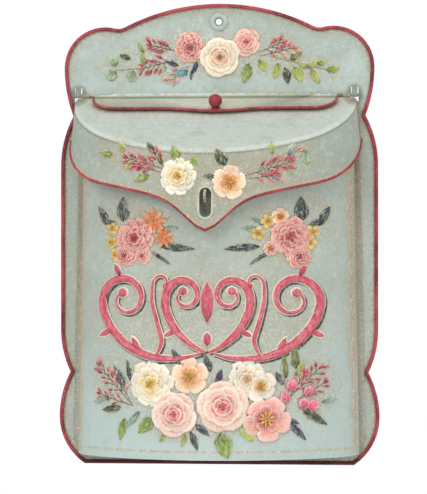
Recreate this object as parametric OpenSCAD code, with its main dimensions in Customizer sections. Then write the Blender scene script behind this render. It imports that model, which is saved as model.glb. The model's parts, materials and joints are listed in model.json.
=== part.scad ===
// Wall-hung letter box of pressed and painted sheet metal. It has a scalloped back plate with a wired
// rim, a bowed letter bin, a sloping lid with a deep apron, and a small letter flap on the same hinge rod.
// Millimetres. X runs across, -Y to the front and +Z up. The origin is on the axis of the hanging hole,
// in the face that lies on the wall. In the functions, "fwd" is the distance in front of the wall.

/* [Sheet] */
// Thickness of every pressed sheet
sheet = 0.7; // [0.5:0.1:1.0]
// Radius of the rolled and wired rim round the back plate
rim_r = 1.75; // [1.3:0.05:2.2]
// Radius of the rolled hem on the lid and the letter flap
hem_r = 1.2; // [1.0:0.05:1.6]

/* [Back plate] */
// Height of the crown above the hanging hole
crown_z = 15.7; // [14:0.1:22]
// Radius of the crown
crown_r = 180; // [160:1:200]
// Radius of the hollow between crown and shoulder
hollow_r = 12; // [9:1:16]
// Half width at the top shoulders
shoulder_x = 135.2; // [130:0.1:137]
// Radius of the top shoulders
shoulder_r = 35.6; // [32:0.1:38]
// Height of the shoulders' centre, below the hole
shoulder_z = -39.6; // [-46:0.1:-36]
// Half width at the notch below the shoulders
waist_x = 127.5; // [126:0.1:130]
// Height of that notch
waist_z = -81.8; // [-86:0.1:-78]
// Half width along the straight sides
side_x = 138.4; // [134:0.1:142]
// Height where the straight sides begin
side_top_z = -125; // [-135:1:-115]
// Height where the straight sides end
side_foot_z = -268; // [-280:1:-255]
// Half width at the lower notch
notch_x = 130; // [128:0.1:133]
// Height of the lower notch
notch_z = -304.5; // [-310:0.5:-298]
// Half width at the bottom lobes
lobe_x = 139.6; // [136:0.1:143]
// Height of the bottom lobes' widest place
lobe_z = -343; // [-348:1:-338]
// Radius of the bottom lobes' lower part
foot_r = 50; // [44:1:56]
// Height of the straight bottom edge
plate_foot_z = -384.5; // [-388:0.5:-380]

/* [Hanging eyelet] */
// Radius of the hole that takes the wall screw
hang_hole_r = 2.75; // [2:0.05:3.2]
// Outer radius of the eyelet's collar
eyelet_r = 8; // [7:0.1:9]
// Height of the collar in front of the plate
eyelet_rise = 1.9; // [1.4:0.1:2.6]
// Radius of the eyelet's open mouth
eyelet_mouth_r = 4.25; // [3.8:0.05:4.8]

/* [Hinge] */
// Height of the hinge rod
hinge_z = -64; // [-66:0.5:-58]
// Radius of the hinge rod
rod_r = 1.25; // [1:0.05:1.6]
// Gap between the rod and the bores that turn on it
rod_fit = 0.05; // [0.02:0.01:0.1]
// Sideways offset of the hinge line and the lid, as they were fitted
hinge_shift = -2.5; // [-3:0.1:3]
// Distance from the middle of the hinge to each tongue
tongue_x = 120.5; // [118:0.1:122]
// Width of the tongues that are lanced from the plate
tongue_w = 5; // [4:0.1:6]
// Height of a tongue's root above the rod
tongue_rise = 7; // [6:0.1:9]
// Width of the window that a tongue leaves in the plate
window_w = 6.4; // [6:0.1:8]
// Depth of that window below the rod
window_drop = 5.5; // [4:0.1:7]
// Length of each knuckle of the lid
lid_knuckle_l = 7; // [5:0.1:8]
// Air between knuckles, and between a knuckle and its neighbour
knuckle_gap = 0.5; // [0.4:0.1:0.8]

/* [Lid] */
// Half width of the lid at its crease
lid_w = 122.5; // [118:0.5:126]
// Depth of the lid at its crease
lid_d = 93; // [85:1:108]
// Radius of the lid's sides in plan
lid_side_r = 82; // [70:1:84]
// Slope of the roof below the level
roof_slope = 27; // [22:1:32]
// Size of the soft bend from the roof to the apron
bend = 4.5; // [3:0.1:6]
// Flare of the apron from the upright
apron_flare = 5; // [2:0.5:8]
// Height of the hem's point, before it is rounded
hem_point_z = -183; // [-190:1:-176]
// Extra depth of the point below the run of the hem
hem_drop = 20; // [14:1:24]
// Half width over which the point falls away
hem_drop_w = 23; // [18:1:28]
// Rise of the hem from the middle to the sides, per millimetre
hem_rise = 0.225; // [0.2:0.01:0.3]
// Rise of the hem at its rounded rear corners
hem_corner = 31; // [24:1:34]
// Distance from the plate at which those corners begin
hem_corner_fwd = 64; // [56:1:74]
// Gap between the lid's rear edge and the plate
lid_rear_gap = 3.4; // [3.2:0.1:4.2]

/* [Letter flap] */
// Half width of the letter flap
flap_w = 105.5; // [90:0.5:107]
// Length of the flap from the rod to its lip
flap_l = 31; // [26:0.5:36]
// Extra length of the lip in the middle, below the knob
flap_dip = 6; // [3:0.5:8]
// Half width of that dip
flap_dip_w = 48; // [36:1:60]
// Radius of the flap's front corners
flap_corner_r = 20; // [12:1:22]
// Half length of the flap's own knuckle
flap_knuckle = 90; // [70:1:100]
// Distance of the knob from the rod
knob_f = 32; // [26:0.5:33]
// Sideways offset of the knob, and of the dip below it
knob_x = 2.5; // [-4:0.5:4]
// Radius of the knob
knob_r = 5.8; // [4.5:0.1:6.2]
// Radius of the knob's screw
knob_screw_r = 1.4; // [1:0.1:1.8]

/* [Openings] */
// Half width of the letter slot in the roof
slot_w = 92; // [70:1:95]
// Length of the letter slot down the roof
slot_l = 19; // [14:0.5:22]
// Width of the lock slot in the apron
lock_w = 10; // [8:0.5:12]
// Height of the lock slot
lock_h = 24.6; // [20:0.2:28]
// Height of the lock slot's centre
lock_z = -158.8; // [-162:0.2:-156]
// Width of the raised rim round the lock slot
lock_rim_w = 1.9; // [1.2:0.1:2.5]
// Height of that rim above the apron
lock_rim_h = 1.1; // [0.6:0.1:1.6]

/* [Letter bin] */
// Half width of the bin at its top edge
bin_top_w = 117; // [112:0.5:118]
// Half width of the bin at its foot
bin_foot_w = 122.5; // [118:0.5:124]
// Gap between the bin's front and the lid's crease
bin_gap = 8; // [6:0.5:14]
// Radius of the bin's sides in plan
bin_side_r = 62; // [50:1:70]
// Height of the bin's foot
bin_foot_z = -374.5; // [-378:0.5:-368]
// Width of the flanges that are welded to the plate
flange_w = 4.8; // [4:0.1:6]
// Length cut back from the flanges at the foot
flange_cut = 14; // [10:1:20]
// Height where the flanges begin
flange_top_z = -72; // [-76:0.5:-70]
// Air between the bin's top edge and the roof
roof_rest = 0.6; // [0.4:0.1:1.2]
// Height of the floor's upturned lip
floor_lip = 7.5; // [5:0.5:12]

/* [Lock staple] */
// Radius of the staple's wire
staple_r = 1.1; // [0.8:0.05:1.3]
// Height over the staple's two legs
staple_h = 11; // [9:0.2:13]
// Space in front of the lock slot's rim for a padlock's bow
staple_reach = 5.6; // [5:0.1:7]
// Air round the staple's legs in their two holes
staple_air = 0.15; // [0.1:0.05:0.3]
// Gap between the top of the lock slot and the staple
staple_drop = 1.2; // [1:0.1:2]

/* [Hidden] */
$fn = 48;

touch = 0.02;                 // assembly air between pieces that are fixed together
past = 1;                     // how far a cutter runs past a face
sage = "#afc1b9";
pale_sage = "#bccbc8";
red = "#a54150";

// Hinge geometry: the knuckles roll up from sheets that pass the rod on one side.
knuckle_bore = rod_r + rod_fit;
knuckle_r = knuckle_bore + sheet + 0.1;
hinge_fwd = sheet + knuckle_r + 0.35;
sheet_off = knuckle_r - 0.6;  // nearest face of the roof or the flap, from the rod's axis
knuckle_x = tongue_x - tongue_w / 2 - knuckle_gap;
knuckle_in_x = knuckle_x - lid_knuckle_l;
clear_r = knuckle_r + 0.5;    // clearance cut round the rod where another piece has its knuckle

// Lid and bin geometry.
lid_base = sheet + lid_rear_gap;
bin_d = lid_base + lid_d - bin_gap - sheet;
roof_tan = tan(roof_slope);
function roof_top(fwd) = hinge_z - (fwd - hinge_fwd) * roof_tan - sheet_off / cos(roof_slope);
function roof_under(fwd) = roof_top(fwd) - sheet / cos(roof_slope);

// ---- Plan curve with a wide front arc and two tangent side arcs: rows of [x, fwd, direction] ----
function front_r(w, d, r) = ((w - r) * (w - r) + d * d - r * r) / (2 * (d - r));
function join_a(w, d, r) = atan2(front_r(w, d, r) - d, w - r);
function bow(w, d, r, side_n, front_n) =
    let (big = front_r(w, d, r), a = join_a(w, d, r))
    [
        for (i = [0:side_n - 1]) let (t = a * i / side_n) [w - r + r * cos(t), r * sin(t), t],
        for (i = [0:front_n]) let (t = a + (180 - 2 * a) * i / front_n)
            [big * cos(t), d - big + big * sin(t), t],
        for (i = [side_n - 1:-1:0]) let (t = a * i / side_n) [-(w - r + r * cos(t)), r * sin(t), 180 - t]
    ];

// ---- Skin between rings of points. Each ring is a closed loop of an even number of points, and the
// flat ends are closed across it, from the points counted forwards to those counted backwards ----
module loft(rings) {
    m = len(rings[0]);
    last = len(rings) - 1;
    end = last * m;
    sides = [for (i = [0:last - 1], j = [0:m - 1])
        let (k = (j + 1) % m) [i * m + j, i * m + k, (i + 1) * m + k, (i + 1) * m + j]];
    first_cap = [for (j = [0:m / 2 - 2]) [j + 1, j, m - 1 - j, m - 2 - j]];
    last_cap = [for (j = [0:m / 2 - 2]) [end + j, end + j + 1, end + m - 2 - j, end + m - 1 - j]];
    polyhedron(points = [for (ring = rings) each ring], faces = concat(sides, first_cap, last_cap),
               convexity = 8);
}

// Closed skin whose last ring meets the first one.
module ring_loft(rings) {
    n = len(rings);
    m = len(rings[0]);
    sides = [for (i = [0:n - 1], j = [0:m - 1])
        let (k = (j + 1) % m, h = (i + 1) % n) [i * m + j, i * m + k, h * m + k, h * m + j]];
    polyhedron(points = [for (ring = rings) each ring], faces = sides, convexity = 8);
}

// ---- Outline of the back plate, in X and Z ----
function arc_points(cx, cz, r, a0, a1, n) =
    [for (i = [0:n]) let (a = a0 + (a1 - a0) * i / n) [cx + r * cos(a), cz + r * sin(a)]];
// Radius of an arc that is upright at one end, from how far it runs along Z and across X.
function bulge_r(dz, dx) = (dz * dz + dx * dx) / (2 * dx);
// Upright-ended arc between the heights z0 and z1; the upright end is at x_side, z_side.
function bulge(x_side, z_side, r, z0, z1, n) =
    [for (i = [0:n]) let (z = z0 + (z1 - z0) * i / n) [x_side - r + sqrt(r * r - pow(z - z_side, 2)), z]];
shoulder_c = [shoulder_x - shoulder_r, shoulder_z];
crown_c = [0, crown_z - crown_r];
hollow_d1 = crown_r + hollow_r;
hollow_d2 = shoulder_r + hollow_r;
hollow_span = norm(shoulder_c - crown_c);
hollow_along = (hollow_d1 * hollow_d1 - hollow_d2 * hollow_d2 + hollow_span * hollow_span) / (2 * hollow_span);
hollow_off = sqrt(hollow_d1 * hollow_d1 - hollow_along * hollow_along);
hollow_dir = (shoulder_c - crown_c) / hollow_span;
hollow_c = crown_c + hollow_dir * hollow_along + [-hollow_dir[1], hollow_dir[0]] * hollow_off;
crown_a = atan2(hollow_c[1] - crown_c[1], hollow_c[0] - crown_c[0]);
lobe_a = atan2(hollow_c[1] - shoulder_c[1], hollow_c[0] - shoulder_c[0]);
half_outline = concat(
    arc_points(0, crown_c[1], crown_r, 90, crown_a, 14),
    arc_points(hollow_c[0], hollow_c[1], hollow_r, 180 + crown_a, 180 + lobe_a, 6),
    arc_points(shoulder_c[0], shoulder_z, shoulder_r, lobe_a, 0, 14),
    bulge(shoulder_x, shoulder_z, bulge_r(shoulder_z - waist_z, shoulder_x - waist_x), shoulder_z - 4, waist_z, 7),
    bulge(side_x, side_top_z, bulge_r(waist_z - side_top_z, side_x - waist_x), waist_z - 3, side_top_z, 8),
    bulge(side_x, side_foot_z, bulge_r(side_foot_z - notch_z, side_x - notch_x), side_foot_z, notch_z, 8),
    bulge(lobe_x, lobe_z, bulge_r(notch_z - lobe_z, lobe_x - notch_x), notch_z - 3, lobe_z, 8),
    bulge(lobe_x, lobe_z, foot_r, lobe_z - 5, plate_foot_z, 9)
);
// Crown and joints share points between arcs, so near-equal neighbours are left out.
function thin(p) = [for (i = [0:len(p) - 1]) if (i == 0 || norm(p[i] - p[i - 1]) > 0.6) p[i]];
right_side = thin(half_outline);
left_side = [for (i = [len(right_side) - 1:-1:1]) [-right_side[i][0], right_side[i][1]]];
outline = concat(right_side, left_side);

// Outward normal and mitre at each point of a closed outline that runs clockwise in X and Z.
function unit(v) = v / norm(v);
function edge_normal(p, i) = let (q = p[(i + 1) % len(p)] - p[i]) unit([-q[1], q[0]]);
function corner_shift(p, i, d) =
    let (a = edge_normal(p, (i + len(p) - 1) % len(p)), b = edge_normal(p, i), s = unit(a + b))
    s * (d / max(0.75, s * a));
function inset(p, d) = [for (i = [0:len(p) - 1]) p[i] - corner_shift(p, i, d)];

// Rolled and wired rim. Its section is an eight-sided bead with a thin tail that runs into the sheet,
// given as rows of [outward from the bead's centre, fwd].
rim_fwd = rim_r * cos(22.5) + 0.15;
rim_groove = 1;               // width of the shallow groove between the bead and the sheet
rim_tail = 3;                 // length of the tail inside the sheet
tail_back = 0.1;
tail_front = sheet - 0.1;
tail_end = -rim_r - rim_groove - rim_tail;
function bead_point(a) = [rim_r * cos(a), rim_fwd + rim_r * sin(a)];
rim_section = concat(
    [[tail_end, tail_front], [-rim_r * sin(22.5) - tail_front + 0.15, tail_front]],
    [for (a = [202.5:-45:-67.5]) bead_point(a)],
    [[-rim_r * sin(22.5), tail_back], [tail_end, tail_back]]
);
module plate_rim() {
    ring_loft([for (i = [0:len(outline) - 1])
        let (c = outline[i] - corner_shift(outline, i, rim_r), s = corner_shift(outline, i, 1))
        [for (q = rim_section) [c[0] + s[0] * q[0], -q[1], c[1] + s[1] * q[0]]]]);
}

// The sheet's edge lies in the groove; its corners fall halfway between those of the rim.
function halfway(p) = [for (i = [0:len(p) - 1]) (p[i] + p[(i + 1) % len(p)]) / 2];
module plate_sheet() {
    rotate([90, 0, 0]) linear_extrude(sheet) polygon(halfway(inset(outline, 2 * rim_r + rim_groove)));
}

// A tongue is lanced from the plate, drawn forward and curled round the hinge rod.
curl_in_r = rod_r + 0.1;
curl_out_r = curl_in_r + sheet;
module tongue(x) {
    translate([x - tongue_w / 2, -hinge_fwd, hinge_z]) rotate([90, 0, 90]) {
        difference() {
            linear_extrude(tongue_w) union() {
                circle(r = curl_out_r);
                polygon([[-curl_out_r, 0], [-curl_in_r + 0.1, 0], [hinge_fwd - sheet / 2, tongue_rise - 0.2],
                         [hinge_fwd - sheet / 2, tongue_rise + 0.9], [hinge_fwd - sheet - 0.3, tongue_rise + 0.9]]);
            }
            translate([0, 0, -past]) cylinder(r = curl_in_r, h = tongue_w + 2 * past);
        }
    }
}

module window(x) {
    translate([x - window_w / 2, -2 * sheet, hinge_z - window_drop])
        cube([window_w, 3 * sheet, window_drop + tongue_rise]);
}

module back_plate() {
    color(sage) {
        difference() {
            union() {
                plate_sheet();
                plate_rim();
            }
            for (side = [-1, 1]) window(hinge_shift + side * tongue_x);
            rotate([90, 0, 0]) translate([0, 0, -past]) cylinder(r = eyelet_barrel_r + touch, h = sheet + 2 * past);
        }
        for (side = [-1, 1]) tongue(hinge_shift + side * tongue_x);
    }
}

// The eyelet is a turned collar whose barrel passes through the plate, flush with its back.
eyelet_barrel_r = hang_hole_r + 0.8;
hang_wall = sheet + 0.9;
module hanging_eyelet() {
    color(pale_sage) rotate([90, 0, 0]) rotate_extrude() polygon([
        [hang_hole_r, 0], [eyelet_barrel_r, 0], [eyelet_barrel_r, sheet + touch], [eyelet_r, sheet + touch],
        [eyelet_r - 0.5, sheet + eyelet_rise * 0.6], [eyelet_r - 2, sheet + eyelet_rise],
        [eyelet_mouth_r + 0.8, sheet + eyelet_rise], [eyelet_mouth_r, sheet + eyelet_rise * 0.8],
        [hang_hole_r, hang_wall]]);
}

rod_end_x = tongue_x + tongue_w / 2 + 1.5;
module hinge_rod() {
    color(pale_sage) translate([hinge_shift - rod_end_x, -hinge_fwd, hinge_z])
        rotate([0, 90, 0]) cylinder(r = rod_r, h = 2 * rod_end_x);
}

// Puts children into the lid's frame: X across from the hinge's middle, Y up the roof's normal turned to
// the front, with the hinge axis at the origin.
module on_hinge() {
    translate([hinge_shift, -hinge_fwd, hinge_z]) rotate([roof_slope, 0, 0]) children();
}

// Straight tube or rod along the hinge axis, from x0 to x1.
module along_hinge(x0, x1, r) {
    translate([x0, 0, 0]) rotate([0, 90, 0]) cylinder(r = r, h = x1 - x0);
}

// ---- Lid: roof, soft bend, flared apron and rolled hem in one sheet ----
roof_lap = 3;       // width over which the bent edge and the flat of the roof run into each other
roof_sink = 0.05;   // how far the flat lies below the bent edge's face
lid_side_n = 9;
lid_front_n = 22;
lid_bow = bow(lid_w, lid_d, lid_side_r, lid_side_n, lid_front_n);
function hem_z(x, fwd) =
    hem_point_z + hem_drop + hem_rise * abs(x) - hem_drop * exp(-pow(x / hem_drop_w, 2))
    + hem_corner * pow(max(0, 1 - fwd / hem_corner_fwd), 1.5);
bead_a0 = acos((sheet - hem_r) / hem_r);
bead_n = 7;
function lid_ring(i) =
    let (p = lid_bow[i], m = [cos(p[2]), sin(p[2])],
         plan = function (s) [p[0] + s * m[0], lid_base + p[1] + s * m[1]],
         corner_z = roof_top(lid_base + p[1]),
         inner = -bend - roof_lap,
         start = [-bend, roof_top(plan(-bend)[1])],
         corner = [0, corner_z],
         finish = [bend * sin(apron_flare), corner_z - bend * cos(apron_flare)],
         foot_z = hem_z(p[0], p[1]) + hem_r,
         foot = [(corner_z - foot_z) * tan(apron_flare), foot_z],
         curve = [for (k = [0:4]) let (t = k / 4) start * pow(1 - t, 2) + corner * 2 * t * (1 - t) + finish * t * t],
         slope = [for (k = [0:4]) let (t = k / 4) unit((corner - start) * (1 - t) + (finish - corner) * t)],
         under = concat([[-bend, roof_under(plan(-bend)[1])]],
                        [for (k = [1:4]) curve[k] + [slope[k][1], -slope[k][0]] * sheet]),
         centre = foot + [hem_r - sheet, 0],
         bead = [for (k = [0:bead_n]) let (a = bead_a0 - (bead_a0 + 180) * k / bead_n)
             centre + hem_r * [cos(a), sin(a)]],
         section = concat([[inner, roof_top(plan(inner)[1])]], curve, bead, [for (k = [4:-1:0]) under[k]],
                          [[inner, roof_under(plan(inner)[1])]]))
    [for (q = section) let (xy = plan(q[0])) [xy[0], -xy[1], q[1]]];
lid_rings = [for (i = [0:len(lid_bow) - 1]) lid_ring(i)];

// The apron's outer face in the middle, at a given height.
function apron_fwd(z) = lid_base + lid_d + (roof_top(lid_base + lid_d) - z) * tan(apron_flare);

module obround(w, h) {
    square([w, h - w], center = true);
    for (side = [-1, 1]) translate([0, side * (h - w) / 2]) circle(r = w / 2);
}

// Puts children on the apron's outer face at the lock slot, with +Z out of that face.
module on_apron() {
    translate([0, -apron_fwd(lock_z), lock_z]) rotate([90 - apron_flare, 0, 0]) children();
}

// Clearance round the rod for the tongues, cut from the lid's rear corners.
module corner_clearance() {
    on_hinge() for (side = [0, 1]) mirror([side, 0, 0]) along_hinge(knuckle_x, lid_w + 2 * past, clear_r);
}

// Bent edge and apron, with the lock slot and its rim.
module lid_skirt() {
    difference() {
        translate([hinge_shift, 0, 0]) difference() {
            union() {
                loft(lid_rings);
                on_apron() translate([0, 0, -sheet]) linear_extrude(sheet + lock_rim_h)
                    obround(lock_w + 2 * lock_rim_w, lock_h + 2 * lock_rim_w);
            }
            on_apron() translate([0, 0, -3 * sheet]) linear_extrude(6 * sheet + lock_rim_h)
                obround(lock_w, lock_h);
        }
        corner_clearance();
    }
}

// Flat of the roof, its letter slot and the two knuckles that turn on the rod.
roof_edge = bow(lid_w - bend - 1, lid_d - bend - 1, lid_side_r - bend - 1, lid_side_n, lid_front_n);
roof_rear = -(lid_base - hinge_fwd) / cos(roof_slope);
lug_out_x = knuckle_x - 1.5;  // the lugs that roll into the knuckles end inside the roof's corners
roof_lugs = [for (p = [[-1, lug_out_x], [-1, knuckle_in_x], [1, knuckle_in_x], [1, lug_out_x]])
    [p[0] * p[1], roof_rear]];
roof_plan = concat(
    [for (p = roof_edge) [p[0], -(lid_base + p[1] - hinge_fwd) / cos(roof_slope)]],
    [roof_lugs[0], [roof_lugs[0][0], 0], [roof_lugs[1][0], 0], roof_lugs[1],
     roof_lugs[2], [roof_lugs[2][0], 0], [roof_lugs[3][0], 0], roof_lugs[3]]
);
module roof_flat() {
    difference() {
        on_hinge() difference() {
            union() {
                translate([0, 0, -sheet_off - sheet - roof_sink]) linear_extrude(sheet) polygon(roof_plan);
                for (side = [0, 1]) mirror([side, 0, 0]) along_hinge(knuckle_in_x, knuckle_x, knuckle_r);
            }
            for (side = [0, 1]) mirror([side, 0, 0])
                along_hinge(knuckle_in_x - past, knuckle_x + past, knuckle_bore);
            along_hinge(-knuckle_in_x, knuckle_in_x, clear_r);
            translate([-slot_w, -slot_l, -sheet_off - 2 * sheet]) cube([2 * slot_w, slot_l, 4 * sheet]);
        }
        corner_clearance();
    }
}

module lid() {
    color(pale_sage) {
        lid_skirt();
        roof_flat();
    }
}

// ---- Letter flap: lies over the roof on its own knuckle, with a rolled lip ----
function flap_lip(x) =
    let (u = abs(x - knob_x) / flap_dip_w) flap_l + flap_dip * (u < 1 ? (1 + cos(180 * u)) / 2 : 0);
flap_rear_f = clear_r + 0.4;
flap_flat_w = flap_w - flap_corner_r;
flap_front = concat(
    [for (i = [0:7]) let (a = 90 * i / 7)
        [flap_flat_w + flap_corner_r * cos(a), flap_l - flap_corner_r + flap_corner_r * sin(a)]],
    [for (i = [1:23]) let (x = flap_flat_w * (1 - i / 12)) [x, flap_lip(x)]],
    [for (i = [0:7]) let (a = 90 + 90 * i / 7)
        [-flap_flat_w + flap_corner_r * cos(a), flap_l - flap_corner_r + flap_corner_r * sin(a)]]
);
lip_sides = 8;
function lip_dir(i) = let (n = len(flap_front) - 1) unit(flap_front[min(n, i + 1)] - flap_front[max(0, i - 1)]);
lip_mid = sheet_off + sheet / 2;
lip_rings = [for (i = [0:len(flap_front) - 1])
    let (p = flap_front[i], d = lip_dir(i), n = [d[1], -d[0]])
    [for (j = [0:lip_sides - 1]) let (a = -360 * (j + 0.5) / lip_sides, s = hem_r * cos(a))
        [p[0] + n[0] * s, -(p[1] + n[1] * s), lip_mid + hem_r * sin(a)]]];

module flap_plate() {
    translate([0, 0, sheet_off]) linear_extrude(sheet) mirror([0, 1]) polygon(concat(
        flap_front, [[-flap_w, flap_rear_f], [-flap_knuckle, flap_rear_f], [-flap_knuckle, 0],
                     [flap_knuckle, 0], [flap_knuckle, flap_rear_f], [flap_w, flap_rear_f]]));
}

knob_hole_r = knob_screw_r + 0.1;
module letter_flap() {
    color(sage) on_hinge() difference() {
        union() {
            flap_plate();
            loft(lip_rings);
            along_hinge(-flap_knuckle, flap_knuckle, knuckle_r);
        }
        along_hinge(-flap_knuckle - past, flap_knuckle + past, knuckle_bore);
        translate([knob_x, -knob_f, 0]) cylinder(r = knob_hole_r, h = 4 * sheet_off);
    }
}

// ---- Knob on the flap, and the screw that holds it from below ----
knob_foot_z = sheet_off + sheet + touch;
knob_base_h = 1.2;
knob_neck_h = 0.6;
knob_centre_z = knob_foot_z + knob_base_h + knob_neck_h + knob_r * 0.86;
screw_depth = 5.5;
module flap_knob() {
    color(red) on_hinge() translate([knob_x, -knob_f, 0]) difference() {
        union() {
            translate([0, 0, knob_foot_z]) cylinder(r = knob_r * 0.6, h = knob_base_h);
            translate([0, 0, knob_foot_z]) cylinder(r = knob_r * 0.42, h = knob_base_h + knob_neck_h + 1);
            translate([0, 0, knob_centre_z]) sphere(r = knob_r);
        }
        translate([0, 0, knob_foot_z - past]) cylinder(r = knob_screw_r + touch, h = screw_depth + past + 0.5);
    }
}

screw_head_r = 3;
screw_head_h = 1.1;
module knob_screw() {
    color("silver") on_hinge() translate([knob_x, -knob_f, sheet_off - touch]) {
        translate([0, 0, -screw_head_h]) cylinder(r = screw_head_r, h = screw_head_h);
        translate([0, 0, -screw_head_h / 2]) cylinder(r = knob_screw_r, h = screw_head_h / 2 + sheet + screw_depth);
    }
}

// ---- Letter bin: bowed front, tapered sides and welded flanges in one sheet ----
bin_side_n = 9;
bin_front_n = 18;
// Plan of the bin at a half width w: rows of [outer x, outer fwd, inner x, inner fwd].
function bin_plan(w) =
    let (curve = bow(w, bin_d, bin_side_r, bin_side_n, bin_front_n), last = len(curve) - 1)
    concat(
        [[w + flange_w, bin_back + sheet, w + flange_w, bin_back], [w, bin_back + sheet, w - sheet, bin_back]],
        [for (i = [1:last - 1]) let (p = curve[i], c = cos(p[2]), s = sin(p[2]))
            [p[0], sheet + p[1], p[0] - sheet * c, sheet + p[1] - sheet * s]],
        [[-w, bin_back + sheet, -w + sheet, bin_back],
         [-w - flange_w, bin_back + sheet, -w - flange_w, bin_back]]
    );
bin_back = sheet + touch;
bin_foot = bin_plan(bin_foot_w);
bin_top = bin_plan(bin_top_w);
function bin_top_z(fwd) = min(flange_top_z, roof_under(fwd) - roof_rest);
// The bin's half width grows evenly from top to foot.
function bin_w(z) = bin_top_w + (bin_foot_w - bin_top_w) * (flange_top_z - z) / (flange_top_z - bin_foot_z);
function bin_rim(i) =
    let (z = bin_top_z(bin_top[i][1]), t = (flange_top_z - z) / (flange_top_z - bin_foot_z))
    concat(bin_top[i] * (1 - t) + bin_foot[i] * t, [z]);
bin_last = len(bin_foot) - 1;
bin_rings = [for (i = [0:bin_last])
    let (f = bin_foot[i], r = bin_rim(i), z = bin_foot_z + (i == 0 || i == bin_last ? flange_cut : 0))
    [[f[0], -f[1], z], [f[2], -f[3], z], [r[2], -r[3], r[4]], [r[0], -r[1], r[4]]]];
staple_z = lock_z + lock_h / 2 - staple_drop - staple_h / 2;
staple_leg = staple_h / 2 - staple_r;

module letter_bin() {
    color(sage) difference() {
        loft(bin_rings);
        for (side = [-1, 1]) translate([hinge_shift, -sheet - bin_d + 3 * sheet, staple_z + side * staple_leg])
            rotate([90, 0, 0]) cylinder(r = staple_r + staple_air, h = 6 * sheet);
    }
}

// ---- Floor of the bin: a tray whose lip stands inside the bin's wall ----
function floor_plan(w, in) = [for (p = bow(w - sheet - in, bin_d - sheet - in, bin_side_r - sheet - in,
                                            bin_side_n, bin_front_n))
    [p[0], -sheet - max(in, p[1])]];
floor_w = bin_w(bin_foot_z + floor_lip);
floor_gap = 0.12;
module bin_floor() {
    color(sage) translate([0, 0, bin_foot_z]) difference() {
        linear_extrude(floor_lip) polygon(floor_plan(floor_w, floor_gap));
        translate([0, 0, sheet]) linear_extrude(floor_lip) polygon(floor_plan(floor_w, floor_gap + sheet));
    }
}

// ---- Staple: a bent wire through the bin's front, for the padlock ----
bow_swell = 0.03;             // the bow is this much thicker than the legs, which run a little way into it
staple_bend = staple_leg;
staple_tip = apron_fwd(staple_z) + lock_rim_h + staple_reach + staple_r + bow_swell;
staple_head_r = staple_r * 1.5;
staple_head_h = 1.2;
staple_root = bin_d - staple_head_h - 0.25;
module lock_staple() {
    straight = staple_tip - staple_bend - staple_root;
    color(pale_sage) translate([hinge_shift, 0, staple_z]) {
        for (side = [-1, 1]) translate([0, -staple_root, side * staple_leg]) {
            rotate([90, 0, 0]) cylinder(r = staple_r, h = straight + 10 * bow_swell);
            rotate([90, 0, 0]) cylinder(r = staple_head_r, h = staple_head_h);
        }
        translate([0, -staple_root - straight, 0]) rotate([0, -90, 0])
            rotate_extrude(angle = 180, start = 180) translate([staple_leg, 0]) circle(r = staple_r + bow_swell);
    }
}

back_plate();
hanging_eyelet();
hinge_rod();
letter_bin();
bin_floor();
lid();
letter_flap();
flap_knob();
knob_screw();
lock_staple();
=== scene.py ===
"""Looks of a wall-hung letter box: worn sage paint, red hems, and raised flowers and scrolls."""

import json
import math
import random

import bpy
import numpy as np
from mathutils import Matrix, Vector
from mathutils.bvhtree import BVHTree

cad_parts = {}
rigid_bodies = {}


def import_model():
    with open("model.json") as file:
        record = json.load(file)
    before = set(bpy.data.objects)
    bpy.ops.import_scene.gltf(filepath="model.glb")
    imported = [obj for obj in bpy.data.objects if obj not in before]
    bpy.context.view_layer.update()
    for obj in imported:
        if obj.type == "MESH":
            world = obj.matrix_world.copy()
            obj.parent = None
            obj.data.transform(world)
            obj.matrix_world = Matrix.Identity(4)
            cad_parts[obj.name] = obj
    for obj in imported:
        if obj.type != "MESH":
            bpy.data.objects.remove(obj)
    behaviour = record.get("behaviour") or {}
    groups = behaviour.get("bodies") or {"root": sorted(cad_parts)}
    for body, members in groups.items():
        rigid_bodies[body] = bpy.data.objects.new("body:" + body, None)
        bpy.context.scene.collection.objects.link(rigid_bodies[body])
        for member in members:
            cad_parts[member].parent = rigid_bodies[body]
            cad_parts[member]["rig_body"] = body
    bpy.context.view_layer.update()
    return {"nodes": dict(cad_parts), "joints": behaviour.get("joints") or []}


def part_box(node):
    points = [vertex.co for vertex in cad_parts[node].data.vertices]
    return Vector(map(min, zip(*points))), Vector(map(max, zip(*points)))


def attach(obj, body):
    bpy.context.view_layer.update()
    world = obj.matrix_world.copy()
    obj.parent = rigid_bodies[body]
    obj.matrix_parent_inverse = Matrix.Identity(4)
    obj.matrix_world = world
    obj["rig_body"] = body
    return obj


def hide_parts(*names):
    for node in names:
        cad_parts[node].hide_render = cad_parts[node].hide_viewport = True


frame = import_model()

MM = 0.001
SHEET = 0.7 * MM                # thickness of every sheet
PLATE_FACE = -SHEET             # front face of the plate's sheet
HINGE = Vector(frame["joints"][0]["pos_m"])
HINGE_Z = HINGE.z / MM          # height of the rod, in millimetres
MIDDLE = -2.5                   # middle of the lid, in millimetres
HOOK_X = 120.5                  # from the middle to either hook on the rod, in millimetres
SLOT_Z = -157                   # middle of the lid's lock slot, in millimetres
ROOF_SLOPE = math.radians(27)
ROOF_UP = Vector((0, -math.sin(ROOF_SLOPE), math.cos(ROOF_SLOPE)))
APRON_LEAN = math.radians(5)
LID_HALF, LID_DEPTH, LID_BACK, LID_SIDE_R = 122.5 * MM, 93 * MM, 4.1 * MM, 82 * MM
BIN_TOP_Z, BIN_TOP_HALF, BIN_FOOT_HALF, BIN_SIDE_R = -72 * MM, 117 * MM, 122.5 * MM, 62 * MM
HEM_R = 1.2 * MM                # radius of the hem rolled round the foot of the lid
FLAT = 0.9995                   # cosine below which a face doesn't count as lying along a plane
bin_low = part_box("letter_bin")[0]
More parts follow.
